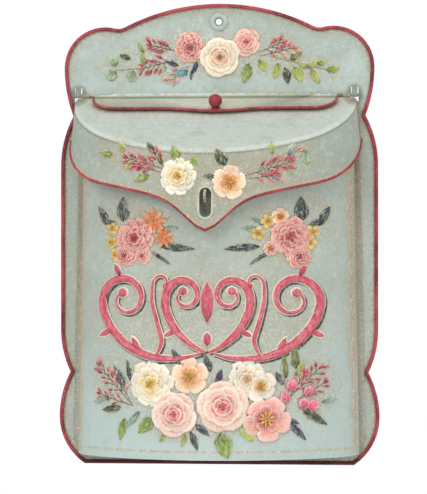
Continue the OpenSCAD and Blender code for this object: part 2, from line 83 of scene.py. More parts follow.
plate_low, plate_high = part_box("back_plate")


# ---------------------------------------------------------------- small tools
def nothing_selected():
    if bpy.context.object and bpy.context.object.mode != "OBJECT":
        bpy.ops.object.mode_set(mode="OBJECT")
    bpy.ops.object.select_all(action="DESELECT")


def choose(*objects):
    nothing_selected()
    for o in objects:
        o.select_set(True)
    bpy.context.view_layer.objects.active = objects[0]


def in_edit_mode(obj, mode="FACE"):
    choose(obj)
    bpy.ops.object.mode_set(mode="EDIT")
    bpy.ops.mesh.select_mode(type=mode)


def smooth_copy(node, angle):
    """A welded copy of a CAD node that stands for it, shaded smooth up to `angle` degrees."""
    nothing_selected()
    copy = frame["nodes"][node].copy()
    copy.data = copy.data.copy()
    copy.name = node + "_painted"
    copy.parent = None
    bpy.context.scene.collection.objects.link(copy)
    for key in [k for k in copy.keys() if k.startswith("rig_")]:
        del copy[key]
    in_edit_mode(copy, "VERT")
    bpy.ops.mesh.select_all(action="SELECT")
    bpy.ops.mesh.remove_doubles(threshold=0.01 * MM)
    bpy.ops.object.mode_set(mode="OBJECT")
    bpy.ops.object.shade_smooth_by_angle(angle=math.radians(angle))
    copy.data.materials.clear()
    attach(copy, frame["nodes"][node]["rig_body"])
    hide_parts(node)
    return copy


def paint_faces(obj, second, chosen):
    """Gives the material `second` to the faces for which chosen(centre, normal) is true."""
    obj.data.materials.append(second)
    index = len(obj.data.materials) - 1
    for face in obj.data.polygons:
        if chosen(face.center, face.normal):
            face.material_index = index


def bowed_shading(obj, middle, base, width, depth, side_radius, lean):
    """Shades a bowed wall as its true round plan: a wide front arc between two side arcs, in metres."""
    mesh = obj.data
    normals = [Vector(corner.vector) for corner in mesh.corner_normals]
    for face in mesh.polygons:
        for loop in face.loop_indices:
            co = mesh.vertices[mesh.loops[loop].vertex_index].co
            half = width(co.z)
            front = ((half - side_radius) ** 2 + depth ** 2 - side_radius ** 2) / (2 * (depth - side_radius))
            x, fwd = co.x - middle, -co.y - base
            out = Vector((x, fwd - (depth - front)))
            if math.atan2(out.y, abs(out.x)) < math.atan2(front - depth, half - side_radius):
                out = Vector((x - math.copysign(half - side_radius, x), max(fwd, 0.0)))
            if out.length < 1e-6:
                continue
            out.normalize()
            true = Vector((out.x * math.cos(lean), -out.y * math.cos(lean), math.sin(lean)))
            if abs(true.dot(face.normal)) > 0.985:
                normals[loop] = true * math.copysign(1.0, true.dot(face.normal))
    mesh.normals_split_custom_set(normals)


def flat_shading(obj, direction):
    """Shades the faces that look along `direction`, or straight away from it, as truly flat."""
    mesh = obj.data
    normals = [Vector(corner.vector) for corner in mesh.corner_normals]
    for face in mesh.polygons:
        if abs(face.normal.dot(direction)) > FLAT:
            for loop in face.loop_indices:
                normals[loop] = face.normal.copy()
    mesh.normals_split_custom_set(normals)


# ---------------------------------------------------------------- colours
def rgb(r, g, b):
    """Linear colour from the 0-255 values of a paint chip."""
    return tuple(((c / 255 + 0.055) / 1.055) ** 2.4 if c > 10 else c / 255 / 12.92 for c in (r, g, b)) + (1.0,)


SAGE = rgb(173, 186, 180)
SAGE_BLUE = rgb(184, 200, 197)
SAGE_GREY = rgb(160, 171, 160)
ROOF_PAINTED_LIGHT = rgb(187, 197, 190)
TAN = rgb(196, 176, 148)
TAN_DEEP = rgb(170, 150, 120)
MIST = rgb(202, 214, 210)
CREAM = rgb(232, 228, 212)
GRIME_AND_SHADE = rgb(96, 98, 84)
HOOK_SHADE = rgb(104, 106, 86)
RED = rgb(176, 70, 82)
RED_DEEP = rgb(122, 42, 56)


# ---------------------------------------------------------------- node helpers
class Nodes:
    """A material's node tree with short ways to add what the paints share."""

    def __init__(self, name):
        self.material = bpy.data.materials.new(name)
        self.material.use_nodes = True
        self.tree = self.material.node_tree
        self.bsdf = self.tree.nodes["Principled BSDF"]
        self.place = self.add("ShaderNodeTexCoord").outputs["Object"]

    def add(self, kind, **settings):
        node = self.tree.nodes.new(kind)
        for key, value in settings.items():
            setattr(node, key, value)
        return node

    def link(self, a, b):
        self.tree.links.new(a, b)

    def noise(self, scale, detail, rough, stretch=(1, 1, 1), shift=0.0, distortion=0.0, source=None):
        """Noise over the object's own coordinates, or over `source`."""
        mapping = self.add("ShaderNodeMapping")
        self.link(source or self.place, mapping.inputs["Vector"])
        mapping.inputs["Location"].default_value = (shift, shift * 0.7, -shift)
        mapping.inputs["Scale"].default_value = stretch
        node = self.add("ShaderNodeTexNoise")
        self.link(mapping.outputs[0], node.inputs["Vector"])
        node.inputs["Scale"].default_value = scale
        node.inputs["Detail"].default_value = detail
        node.inputs["Roughness"].default_value = rough
        node.inputs["Distortion"].default_value = distortion
        return node.outputs["Fac"]

    def band(self, value, low, high):
        """0 below low and 1 above high, with a soft step between (or the reverse where low > high)."""
        node = self.add("ShaderNodeMapRange", interpolation_type="SMOOTHSTEP")
        self.link(value, node.inputs["Value"])
        flip = low > high
        node.inputs["From Min"].default_value = min(low, high)
        node.inputs["From Max"].default_value = max(low, high)
        node.inputs["To Min"].default_value = 1.0 if flip else 0.0
        node.inputs["To Max"].default_value = 0.0 if flip else 1.0
        return node.outputs["Result"]

    def math(self, operation, *values):
        node = self.add("ShaderNodeMath", operation=operation)
        for socket, value in zip(node.inputs, values):
            if isinstance(value, (int, float)):
                socket.default_value = value
            else:
                self.link(value, socket)
        return node.outputs[0]

    def times(self, a, b):
        return self.math("MULTIPLY", a, b)

    def apart(self, value, middle):
        """How far a value is from its middle, on either side."""
        return self.math("ABSOLUTE", self.math("SUBTRACT", value, middle))

    def mix(self, share, a, b, blend="MIX"):
        node = self.add("ShaderNodeMix", data_type="RGBA", blend_type=blend)
        for socket, value in zip((node.inputs[0], node.inputs[6], node.inputs[7]), (share, a, b)):
            if isinstance(value, tuple):
                socket.default_value = value
            else:
                self.link(value, socket)
        return node.outputs[2]

    def over(self, colour, tone, mask, share, blend="MIX"):
        """`tone` over `colour` where the mask is 1, as far as `share`."""
        return self.mix(self.times(mask, share), colour, tone, blend)

    def axes(self, source=None):
        node = self.add("ShaderNodeSeparateXYZ")
        self.link(source or self.place, node.inputs[0])
        return node.outputs

    def attribute(self, name, output):
        return self.add("ShaderNodeAttribute", attribute_name=name).outputs[output]

    def corner(self, reach):
        """0 in the open and 1 deep in a corner, up to `reach` metres from what stands there."""
        node = self.add("ShaderNodeAmbientOcclusion", samples=6)
        node.inputs["Distance"].default_value = reach
        return self.math("SUBTRACT", 1.0, node.outputs["AO"])

    def finish(self, colour, roughness, heights, strength=0.5):
        """Colour, roughness and bump from a height, as sockets."""
        self.link(colour, self.bsdf.inputs["Base Color"])
        self.link(roughness, self.bsdf.inputs["Roughness"])
        bump = self.add("ShaderNodeBump")
        bump.inputs["Strength"].default_value = strength
        bump.inputs["Distance"].default_value = 0.25 * MM
        self.link(heights, bump.inputs["Height"])
        self.link(bump.outputs[0], self.bsdf.inputs["Normal"])
        self.bsdf.inputs["Specular IOR Level"].default_value = 0.35
        return self.material


# ---------------------------------------------------------------- masks: each takes a node tree and gives 0 to 1
def near(*spots):
    """At the front, near the given spots, each (x, z, half width, half height) in millimetres."""
    def mask(n):
        x, y, z = n.axes()
        total = None
        for sx, sz, rx, rz in spots:
            dx = n.times(n.math("SUBTRACT", x, sx * MM), 1 / (rx * MM))
            dz = n.times(n.math("SUBTRACT", z, sz * MM), 1 / (rz * MM))
            d = n.math("SQRT", n.math("ADD", n.times(dx, dx), n.times(dz, dz)))
            total = d if total is None else n.math("MINIMUM", total, d)
        return n.times(n.band(total, 1.35, 0.75), n.band(y, -0.2 * MM, -0.5 * MM))
    return mask


def by_height(low, high, about=None):
    """From 0 to 1 as z, or how far z is from `about`, goes from low to high, in millimetres."""
    def mask(n):
        z = n.axes()[2]
        return n.band(z if about is None else n.apart(z, about * MM), low * MM, high * MM)
    return mask


def round_hooks(half_width, half_height):
    """Round the two hooks on the rod."""
    return near(*((MIDDLE + side * HOOK_X, HINGE_Z, half_width, half_height) for side in (-1, 1)))


def bin_half_width(z):
    """Half width of the bin at height z, in metres."""
    return BIN_TOP_HALF + (BIN_FOOT_HALF - BIN_TOP_HALF) * (BIN_TOP_Z - z) / (BIN_TOP_Z - bin_low.z)


def bin_folds(n):
    """Along the folds from the bin's sides to its flanges, and a broken line above the foot."""
    x, y, z = n.axes()
    grow = (BIN_FOOT_HALF - BIN_TOP_HALF) / (BIN_TOP_Z - bin_low.z)
    half = n.math("ADD", n.times(n.math("SUBTRACT", z, BIN_TOP_Z), -grow), BIN_TOP_HALF)
    off = n.apart(n.math("ABSOLUTE", x), n.math("SUBTRACT", half, 2.4 * MM))
    uneven = n.times(n.math("SUBTRACT", n.noise(60, 4, 0.65, shift=6), 0.5), 11 * MM)
    flat_side = n.band(n.apart(y, -10 * MM), 8 * MM, 3 * MM)
    fold = n.times(n.band(n.math("ADD", off, uneven), 6.4 * MM, 0.8 * MM),
                   n.math("SUBTRACT", 1.0, n.times(flat_side, 0.65)))
    line = n.band(n.apart(z, bin_low.z + 7 * MM), 1.6 * MM, 0.3 * MM)
    return n.math("MAXIMUM", fold, n.times(line, 0.8))


def bin_shade(n):
    """The sides of the bin, close to the plate."""
    return n.times(n.band(n.axes()[1], -16 * MM, -1.5 * MM), 0.35)


def under_roof(n):
    """How far a place is below the plane of the roof, in metres."""
    node = n.add("ShaderNodeVectorMath", operation="DOT_PRODUCT")
    n.link(n.place, node.inputs[0])
    node.inputs[1].default_value = ROOF_UP
    return n.math("SUBTRACT", roof_level, node.outputs["Value"])


def roof_painted_light(n):
    """Over the roof and its bend: painted light, the roof lighter as lit from above."""
    return n.times(n.band(under_roof(n), 3.5 * MM, 2.6 * MM), 0.85)


def bend_highlight(n):
    """A painted highlight along the top of the bend between roof and apron, broken by noise."""
    line = n.band(n.apart(under_roof(n), 1.7 * MM), 1.5 * MM, 0.4 * MM)
    return n.times(line, n.band(n.noise(120, 4, 0.7, shift=2), 0.25, 0.5))


def bend_dark(n):
    """A thin dark line under the bend, broken by noise."""
    line = n.band(n.apart(under_roof(n), 3.9 * MM), 0.9 * MM, 0.2 * MM)
    return n.times(line, n.band(n.noise(160, 4, 0.7, shift=5), 0.2, 0.42))


def lid_rear_edge(n):
    """The red left along the lid's rear side edges."""
    _, y, z = n.axes()
    edge = n.times(n.band(y, -9.5 * MM, -8.5 * MM), n.band(z, -72 * MM, -74 * MM))
    return n.times(edge, n.band(n.noise(170, 4, 0.7, shift=8), 0.3, 0.4))


def lid_rub_and_highlight(n):
    """A painted highlight, rubbed in places, just above the hem, and a rubbed line in front of the red rear edges."""
    _, y, z = n.axes()
    rear = n.times(n.band(n.apart(y, -12 * MM), 3 * MM, 1.6 * MM),
                   n.band(z, HINGE.z - 6 * MM, HINGE.z - 9 * MM))
    hem = n.band(n.attribute("above_hem", "Fac"), 4.6 * MM, 3.2 * MM)
    return n.math("MAXIMUM", n.times(hem, 0.8), rear)


# ---------------------------------------------------------------- paints
def sage_paint(name, shift, base=SAGE, cool=SAGE_BLUE, spots=(), wear_and_highlight=None, shade=None, pale=None, rub_and_highlight_tone=TAN,
               tints=(), calm=None):
    """Worn sage paint.

    wear, shade, pale and calm are masks: for rubbed places and painted highlights, for painted shade, for painted
    light on the top of a part, and to keep the speckled margin round `spots` off a place. tints holds
    (mask, colour, share) for single places.
    """
    n = Nodes(name)
    patch = n.noise(9, 5, 0.55, shift=shift)
    cloud = n.noise(38, 4, 0.6, shift=shift + 1)
    fine = n.noise(420, 3, 0.7, shift=shift + 2)
    speck = n.noise(1100, 2, 0.5, shift=shift + 3)
    scuff = n.noise(150, 5, 0.7, stretch=(0.55, 1, 1.6), shift=shift + 4)
    mottle = n.noise(210, 3, 0.6, shift=shift + 6)
    colour = n.mix(n.band(patch, 0.38, 0.66), base, cool)
    if pale:
        # painted light: lighter where the pale mask is, as on a top lit from above
        colour = n.mix(pale(n), colour, ROOF_PAINTED_LIGHT)
    colour = n.over(colour, SAGE_GREY, n.band(cloud, 0.5, 0.72), 0.55)
    colour = n.over(colour, CREAM, n.band(scuff, 0.58, 0.72), 0.25)
    colour = n.over(colour, TAN_DEEP, n.band(mottle, 0.53, 0.68), 0.26)
    colour = n.over(colour, MIST, n.band(mottle, 0.46, 0.32), 0.34)
    # fine grain of the sprayed coat, with bright and dull specks
    colour = n.over(colour, TAN, n.band(fine, 0.54, 0.68), 0.22)
    colour = n.over(colour, CREAM, n.band(speck, 0.64, 0.72), 0.5)
    colour = n.over(colour, GRIME_AND_SHADE, n.band(speck, 0.36, 0.29), 0.4)
    for mask, tint, share in tints:
        colour = n.over(colour, tint, mask(n), share)
    if spots:
        # the ground is rubbed thin in a speckled margin close round the raised work
        margin = n.math("MAXIMUM", n.times(near(*spots)(n), 0.55), n.band(n.corner(7.5 * MM), 0.006, 0.075))
        if calm:
            margin = n.times(margin, calm(n))
        colour = n.over(colour, TAN_DEEP, n.times(margin, n.band(fine, 0.4, 0.56)), 0.75)
        colour = n.over(colour, CREAM, n.times(margin, n.band(speck, 0.57, 0.64)), 0.7)
    # tan near corners, and painted shade deep in them, from how closed in a place is
    corner = n.corner(2.2 * MM)
    colour = n.over(colour, TAN, n.times(n.band(corner, 0.12, 0.4), n.band(scuff, 0.36, 0.56)), 0.5)
    colour = n.over(colour, GRIME_AND_SHADE, n.band(corner, 0.45, 0.8), 0.5)
    # painted shade where the shade mask is
    if shade:
        colour = n.over(colour, GRIME_AND_SHADE, shade(n), 0.62)
    # rubbed tan and cream, and painted highlights, where the wear mask is
    if wear_and_highlight:
        rub_and_highlight = wear_and_highlight(n)
        patchy = n.band(n.noise(260, 4, 0.7, stretch=(1, 1, 0.35)), 0.36, 0.56)
        colour = n.over(colour, rub_and_highlight_tone, rub_and_highlight, patchy)
        colour = n.over(colour, CREAM, rub_and_highlight, n.band(fine, 0.55, 0.66))
    heights = n.math("ADD", n.times(fine, 0.5), n.times(cloud, 1.4))
    return n.finish(colour, n.band(cloud, 1.6, 0.1), heights)


def red_paint(name, shift, base=RED, chips=0.6, foot=None):
    """Red trim with chips, with painted shade in its corners, and darker still near the height `foot`."""
    n = Nodes(name)
    fine = n.noise(520, 4, 0.7, shift=shift)
    broad = n.noise(40, 3, 0.6, shift=shift + 1)
    speck = n.noise(900, 2, 0.5, shift=shift + 2)
    colour = n.mix(n.band(broad, 0.35, 0.68), RED_DEEP, base)
    colour = n.over(colour, TAN, n.band(fine, 0.6, 0.7), chips)
    colour = n.over(colour, CREAM, n.band(speck, 0.66, 0.72), chips)
    if foot:
        colour = n.over(colour, rgb(58, 24, 26), n.band(n.axes()[2], foot + 9 * MM, foot + 3.5 * MM), 0.85)
    # painted shade in the corners
    colour = n.over(colour, rgb(74, 34, 36), n.band(n.corner(1.6 * MM), 0.3, 0.7), 0.6)
    return n.finish(colour, n.band(broad, 1.5, -0.2), fine, strength=0.4)


def dull_steel(name):
    n = Nodes(name)
    fine = n.noise(600, 4, 0.6, stretch=(0.2, 1, 1))
    broad = n.noise(120, 4, 0.6, shift=3)
    colour = n.mix(n.band(broad, 0.4, 0.62), rgb(150, 150, 132), rgb(196, 192, 168))
    colour = n.over(colour, rgb(104, 92, 72), n.band(fine, 0.56, 0.66), 0.7)
    n.bsdf.inputs["Metallic"].default_value = 0.35
    return n.finish(colour, n.band(broad, 1.2, 0.2), fine, strength=0.3)


# ---------------------------------------------------------------- back plate and eyelet
def on_rim(centre, normal):
    """The wired rim, but not the tongues nor the inner side of the rim."""
    tongue = abs(abs(centre.x - HINGE.x) - HOOK_X * MM) < 4 * MM and abs(centre.z - HINGE.z) < 9 * MM
    mid_z = (plate_low.z + plate_high.z) / 2
    inward = normal.dot(Vector((centre.x, 0, centre.z - mid_z))) < 0
    inner = inward and math.hypot(normal.x, normal.z) > 0.84 and centre.z > plate_low.z + 5 * MM
    front = centre.y < PLATE_FACE - 0.05 * MM
    behind = centre.y > -0.2 * MM and abs(normal.y) < 0.85
    return front and not tongue and not inner or behind


plate = smooth_copy("back_plate", 34)
plate.data.materials.append(sage_paint(
    "plate_sage", 0.0, base=rgb(168, 181, 172), calm=by_height(8, 13, about=HINGE_Z + 4),
    spots=((0, -30, 26, 20), (-28, -24, 24, 18), (24, -22, 22, 18), (-62, -32, 26, 18), (-86, -42, 18, 14),
           (52, -30, 24, 18), (82, -44, 24, 13), (-30, -44, 22, 10)),
    # painted light: the plate lighter below the hinge, beside the bin; painted shade round the hooks
    tints=((by_height(-66, -84), rgb(196, 206, 196), 0.3), (round_hooks(7, 9), HOOK_SHADE, 0.6))))
flat_shading(plate, Vector((0, 1, 0)))
paint_faces(plate, red_paint("rim_red", 5.0, foot=plate_low.z), on_rim)

eyelet = smooth_copy("hanging_eyelet", 50)
# painted shade inside the eyelet's mouth
eyelet.data.materials.append(sage_paint("eyelet_sage", 7.0, tints=((near((0, 0, 3.5, 3.5)), rgb(78, 82, 70), 0.85),)))

# ---------------------------------------------------------------- bin and its floor
bin_shell = smooth_copy("letter_bin", 40)
bin_shell.data.materials.append(sage_paint(
    "bin_sage", 11.0, base=rgb(172, 180, 170), cool=rgb(182, 196, 191), wear_and_highlight=bin_folds, shade=bin_shade,
    rub_and_highlight_tone=rgb(184, 166, 138),
    spots=((-63, -187, 24, 24), (64, -187, 24, 24), (-80, -172, 20, 20), (82, -172, 20, 20), (-45, -180, 18, 18),
           (46, -180, 18, 18), (-48, -311, 30, 26), (-29, -336, 28, 22), (11, -328, 28, 26), (40, -322, 28, 28),
           (-84, -310, 20, 26), (84, -312, 22, 26), (0, -258, 92, 40)),
    tints=((by_height(-220, -340), rgb(192, 214, 214), 0.5),
           # painted shade on the bin where the lid's lock slot looks onto it
           (near((MIDDLE, SLOT_Z, 7, 13)), rgb(74, 76, 64), 0.65))))
bowed_shading(bin_shell, 0.0, SHEET, bin_half_width, -bin_low.y - SHEET, BIN_SIDE_R, 0.0)
floor_tray = smooth_copy("bin_floor", 40)
floor_tray.data.materials.append(sage_paint("floor_sage", 17.0, base=rgb(150, 160, 152)))


# ---------------------------------------------------------------- lid
def hem_height(x, fwd):
    """Height of the lid's lower edge, at x from the lid's middle and fwd from the wall."""
    point, drop, drop_w, corner, corner_fwd = (v * MM for v in (-183, 20, 23, 31, 64))
    run = point + drop + 0.225 * abs(x) - drop * math.exp(-((x / drop_w) ** 2))
    return run + corner * max(0.0, 1 - (fwd - LID_BACK) / corner_fwd) ** 1.5


def on_hem(centre, normal):
    return centre.z < hem_height(centre.x - HINGE.x, -centre.y) + 2.3 * HEM_R


lid = smooth_copy("lid", 38)
roof = max((face for face in lid.data.polygons if face.normal.dot(ROOF_UP) > FLAT), key=lambda face: face.area)
roof_level = roof.center.dot(ROOF_UP)
lid.data.materials.append(sage_paint(
    "lid_sage", 23.0, base=rgb(158, 166, 152), cool=rgb(168, 180, 172), wear_and_highlight=lid_rub_and_highlight, pale=roof_painted_light,
    spots=((-24, -136, 24, 22), (17, -141, 24, 22), (-56, -126, 24, 16), (-78, -116, 16, 12), (52, -128, 28, 16),
           (74, -120, 14, 12), (5, -126, 16, 14)),
    # a painted highlight along the bend, and a thin dark line under it
    tints=((bend_highlight, rgb(208, 218, 212), 0.6), (bend_dark, rgb(120, 116, 92), 0.6),
           # painted shade round the hooks; a light patch round the lock slot
           (round_hooks(9, 9), HOOK_SHADE, 0.7), (near((MIDDLE, SLOT_Z, 7.6, 15)), rgb(206, 214, 204), 0.75),
           (lid_rear_edge, RED_DEEP, 0.8))))
bowed_shading(lid, HINGE.x, LID_BACK, lambda z: LID_HALF, LID_DEPTH, LID_SIDE_R, APRON_LEAN)
flat_shading(lid, ROOF_UP)
above = lid.data.attributes.new("above_hem", "FLOAT", "POINT")
for i, vertex in enumerate(lid.data.vertices):
    above.data[i].value = vertex.co.z - hem_height(vertex.co.x - HINGE.x, -vertex.co.y)
paint_faces(lid, red_paint("hem_red", 29.0, chips=0.75), on_hem)


# ---------------------------------------------------------------- flap, knob and bare metal
def on_lip(centre, normal):
    """The rolled lip: what is off the flap's own plane, away from its knuckle."""
    from_rod = centre - HINGE
    rise = from_rod.dot(ROOF_UP)
    along = -math.cos(ROOF_SLOPE) * from_rod.y - math.sin(ROOF_SLOPE) * from_rod.z
    return along > 6 * MM and (rise > 2.25 * MM or rise < 1.45 * MM or abs(normal.dot(ROOF_UP)) < 0.9)


flap = smooth_copy("letter_flap", 38)
flap.data.materials.append(sage_paint(
    "flap_sage", 31.0, base=rgb(186, 186, 164), cool=rgb(190, 196, 180), rub_and_highlight_tone=rgb(222, 228, 222),
    # a painted highlight along the top of the knuckle, rubbed in places, and a painted shadow just under it
    wear_and_highlight=by_height(1.7, 0.5, about=HINGE_Z + 0.9), shade=by_height(1.5, 0.5, about=HINGE_Z - 2.3)))
paint_faces(flap, red_paint("lip_red", 37.0), on_lip)
knob = smooth_copy("flap_knob", 50)
knob.data.materials.append(red_paint("knob_red", 41.0, base=rgb(150, 48, 62), chips=0.25))
steel = dull_steel("dull_steel")
for node, angle in (("knob_screw", 40), ("hinge_rod", 50), ("lock_staple", 60)):
    smooth_copy(node, angle).data.materials.append(steel)


# ---------------------------------------------------------------- relief: forms modelled once
def slab(name, columns, rows, whole_back=False):
    """A grid raised into a closed slab, its back one face if asked, with what the relief paint reads."""
    nothing_selected()
    bpy.ops.mesh.primitive_grid_add(x_subdivisions=columns, y_subdivisions=rows, size=2)
    obj = bpy.context.object
    obj.name = name
    in_edit_mode(obj)
    bpy.ops.mesh.select_all(action="SELECT")
    bpy.ops.mesh.extrude_region_move(TRANSFORM_OT_translate={"value": (0, 0, 1)})
    if whole_back:
        bpy.ops.mesh.select_all(action="DESELECT")
        bpy.ops.object.mode_set(mode="OBJECT")
        for face in obj.data.polygons:
            face.select = face.center.z < 0.01 and abs(face.normal.z) > 0.9
        bpy.ops.object.mode_set(mode="EDIT")
        bpy.ops.mesh.dissolve_faces()
    bpy.ops.mesh.select_all(action="SELECT")
    bpy.ops.mesh.normals_make_consistent(inside=False)
    bpy.ops.object.mode_set(mode="OBJECT")
    bpy.ops.object.shade_smooth()
    for attribute, kind in (("place", "FLOAT_VECTOR"), ("paint", "FLOAT_COLOR"), ("brush", "FLOAT_VECTOR")):
        obj.data.attributes.new(attribute, kind, "POINT")
    return obj


def sheet_form(name, columns, rows, shape):
    """A small closed form, shaped by shape(u, v) from a slab.

    It gives (across, along, height) for u from -1 to 1 and v from 0 to 1.
    """
    form = slab(name, columns, rows, whole_back=True)
    place = form.data.attributes["place"]
    for i, vertex in enumerate(form.data.vertices):
        u, v, top = vertex.co.x, (vertex.co.y + 1) / 2, vertex.co.z > 0.5
        place.data[i].vector = (u, v, 1.0 if top else 0.0)
        across, along, height = shape(u, v)
        vertex.co = (across, along, height if top else -1.0)
    bpy.context.scene.collection.objects.unlink(form)
    return form


def fan(u, v, spread, corner, lip, notch=0.0, ruffle=0.0):
    """A petal: a fan from its root with rounded shoulders and a rolled lip."""
    angle = math.radians(spread) * u
    reach = 1 - corner * abs(u) ** 2.6 - notch * math.exp(-((u / 0.3) ** 2)) + ruffle * math.cos(7 * u + 1)
    run = v ** 0.8 * reach
    roll = math.exp(-(((v - 0.86) / 0.16) ** 2))
    height = 0.25 + 0.2 * v + lip * roll - 3.78 * max(0.0, v - 0.93) - 0.22 * abs(u) ** 4
    return run * math.sin(angle), run * math.cos(angle), height


def blade(u, v, widest, round_tip, rib):
    """A leaf: pointed or round ended, with a sunk midrib and domed halves."""
    if round_tip:
        half = math.sqrt(max(0.0, 1 - ((v - 0.52) / 0.49) ** 2)) * 0.5
    else:
        half = 0.5 * (v / widest) ** 0.75 * math.exp(0.75 * (1 - v / widest)) if v > 0 else 0.0
        half *= 1 - v ** 6
    half = max(half, 0.012)
    dome = math.sqrt(max(0.0, 1 - u * u)) * (0.55 + 0.45 * math.sin(math.pi * min(1, v * 1.05)))
    return u * half, v, 0.12 + 0.75 * dome - rib * math.exp(-((u / 0.22) ** 2))


def drop(u, v):
    """A bud: widest at its middle and closed at both ends."""
    half = max(0.5 * math.sin(math.pi * v ** 0.8) ** 0.8, 0.02) if 0 < v < 1 else 0.02
    return u * half, v, 0.1 + 0.9 * math.sqrt(max(0.0, 1 - u * u)) * math.sin(math.pi * min(0.97, max(0.06, v)))


FORMS = {
    "petal": sheet_form("petal_form", 6, 6, lambda u, v: fan(u, v, 58, 0.42, 0.55)),
    "ruffle": sheet_form("ruffle_form", 6, 5, lambda u, v: fan(u, v, 44, 0.3, 0.6, notch=0.12, ruffle=0.05)),
    "open": sheet_form("open_petal_form", 6, 5, lambda u, v: fan(u, v, 40, 0.34, 0.3, notch=0.06)),
    "ray": sheet_form("ray_petal_form", 4, 5, lambda u, v: blade(u, v, 0.6, False, -0.1)),
    "leaf": sheet_form("leaf_form", 4, 6, lambda u, v: blade(u, v, 0.42, False, 0.35)),
    "round": sheet_form("round_leaf_form", 4, 6, lambda u, v: blade(u, v, 0.5, True, 0.3)),
    "pearl": sheet_form("pearl_form", 6, 6, lambda u, v: blade(u, v, 0.5, True, 0.0)),
    "bud": sheet_form("bud_form", 4, 4, drop),
}
LEAF_TONES = {
    "green": rgb(132, 158, 66), "lime": rgb(170, 182, 88), "gum": rgb(150, 178, 142), "slate": rgb(58, 76, 78),
    "navy": rgb(52, 64, 92), "teal": rgb(106, 158, 168), "olive": rgb(116, 126, 62), "dark": rgb(70, 88, 58),
    "mist": rgb(140, 166, 156), "teal_deep": rgb(64, 102, 100), "bark": rgb(128, 84, 72),
}
# root, body and lip of each bud, and then outer, middle, heart and lip of each flower
BUD_TONES = {
    "red": (rgb(150, 40, 58), rgb(196, 62, 84), rgb(232, 142, 150)),
    "pink": (rgb(196, 66, 96), rgb(230, 110, 138), rgb(248, 180, 196)),
    "blush": (rgb(204, 110, 110), rgb(232, 160, 152), rgb(246, 214, 200)),
}
STAMEN = (rgb(190, 130, 40), rgb(222, 170, 62), rgb(240, 214, 130))
EYE = (rgb(150, 100, 30), rgb(206, 150, 44), rgb(234, 196, 96))
FLOWER_TONES = {
    "cream": (rgb(240, 220, 190), rgb(226, 176, 128), rgb(170, 100, 62), rgb(252, 244, 230)),
    "pink": (rgb(222, 134, 132), rgb(200, 84, 96), rgb(162, 44, 64), rgb(246, 208, 194)),
    "blush": (rgb(236, 172, 160), rgb(224, 128, 126), rgb(194, 76, 90), rgb(248, 222, 208)),
    "shell": (rgb(242, 198, 180), rgb(230, 136, 126), rgb(204, 80, 94), rgb(252, 238, 226)),
    "butter": (rgb(244, 236, 210), rgb(238, 212, 128), rgb(206, 158, 44), rgb(253, 249, 240)),
    "peach": (rgb(246, 208, 172), rgb(242, 168, 92), rgb(220, 128, 40), rgb(253, 238, 224)),
    "white": (rgb(242, 230, 214), rgb(230, 200, 166), rgb(198, 160, 92), rgb(253, 249, 240)),
    "orange": (rgb(240, 168, 104), rgb(234, 136, 66), rgb(204, 96, 40), rgb(250, 214, 170)),
    "yellow": (rgb(238, 214, 116), rgb(230, 194, 88), rgb(190, 146, 48), rgb(248, 236, 176)),
}
SUNK = -0.3                     # height of the back of the raised work, in millimetres from the sheet


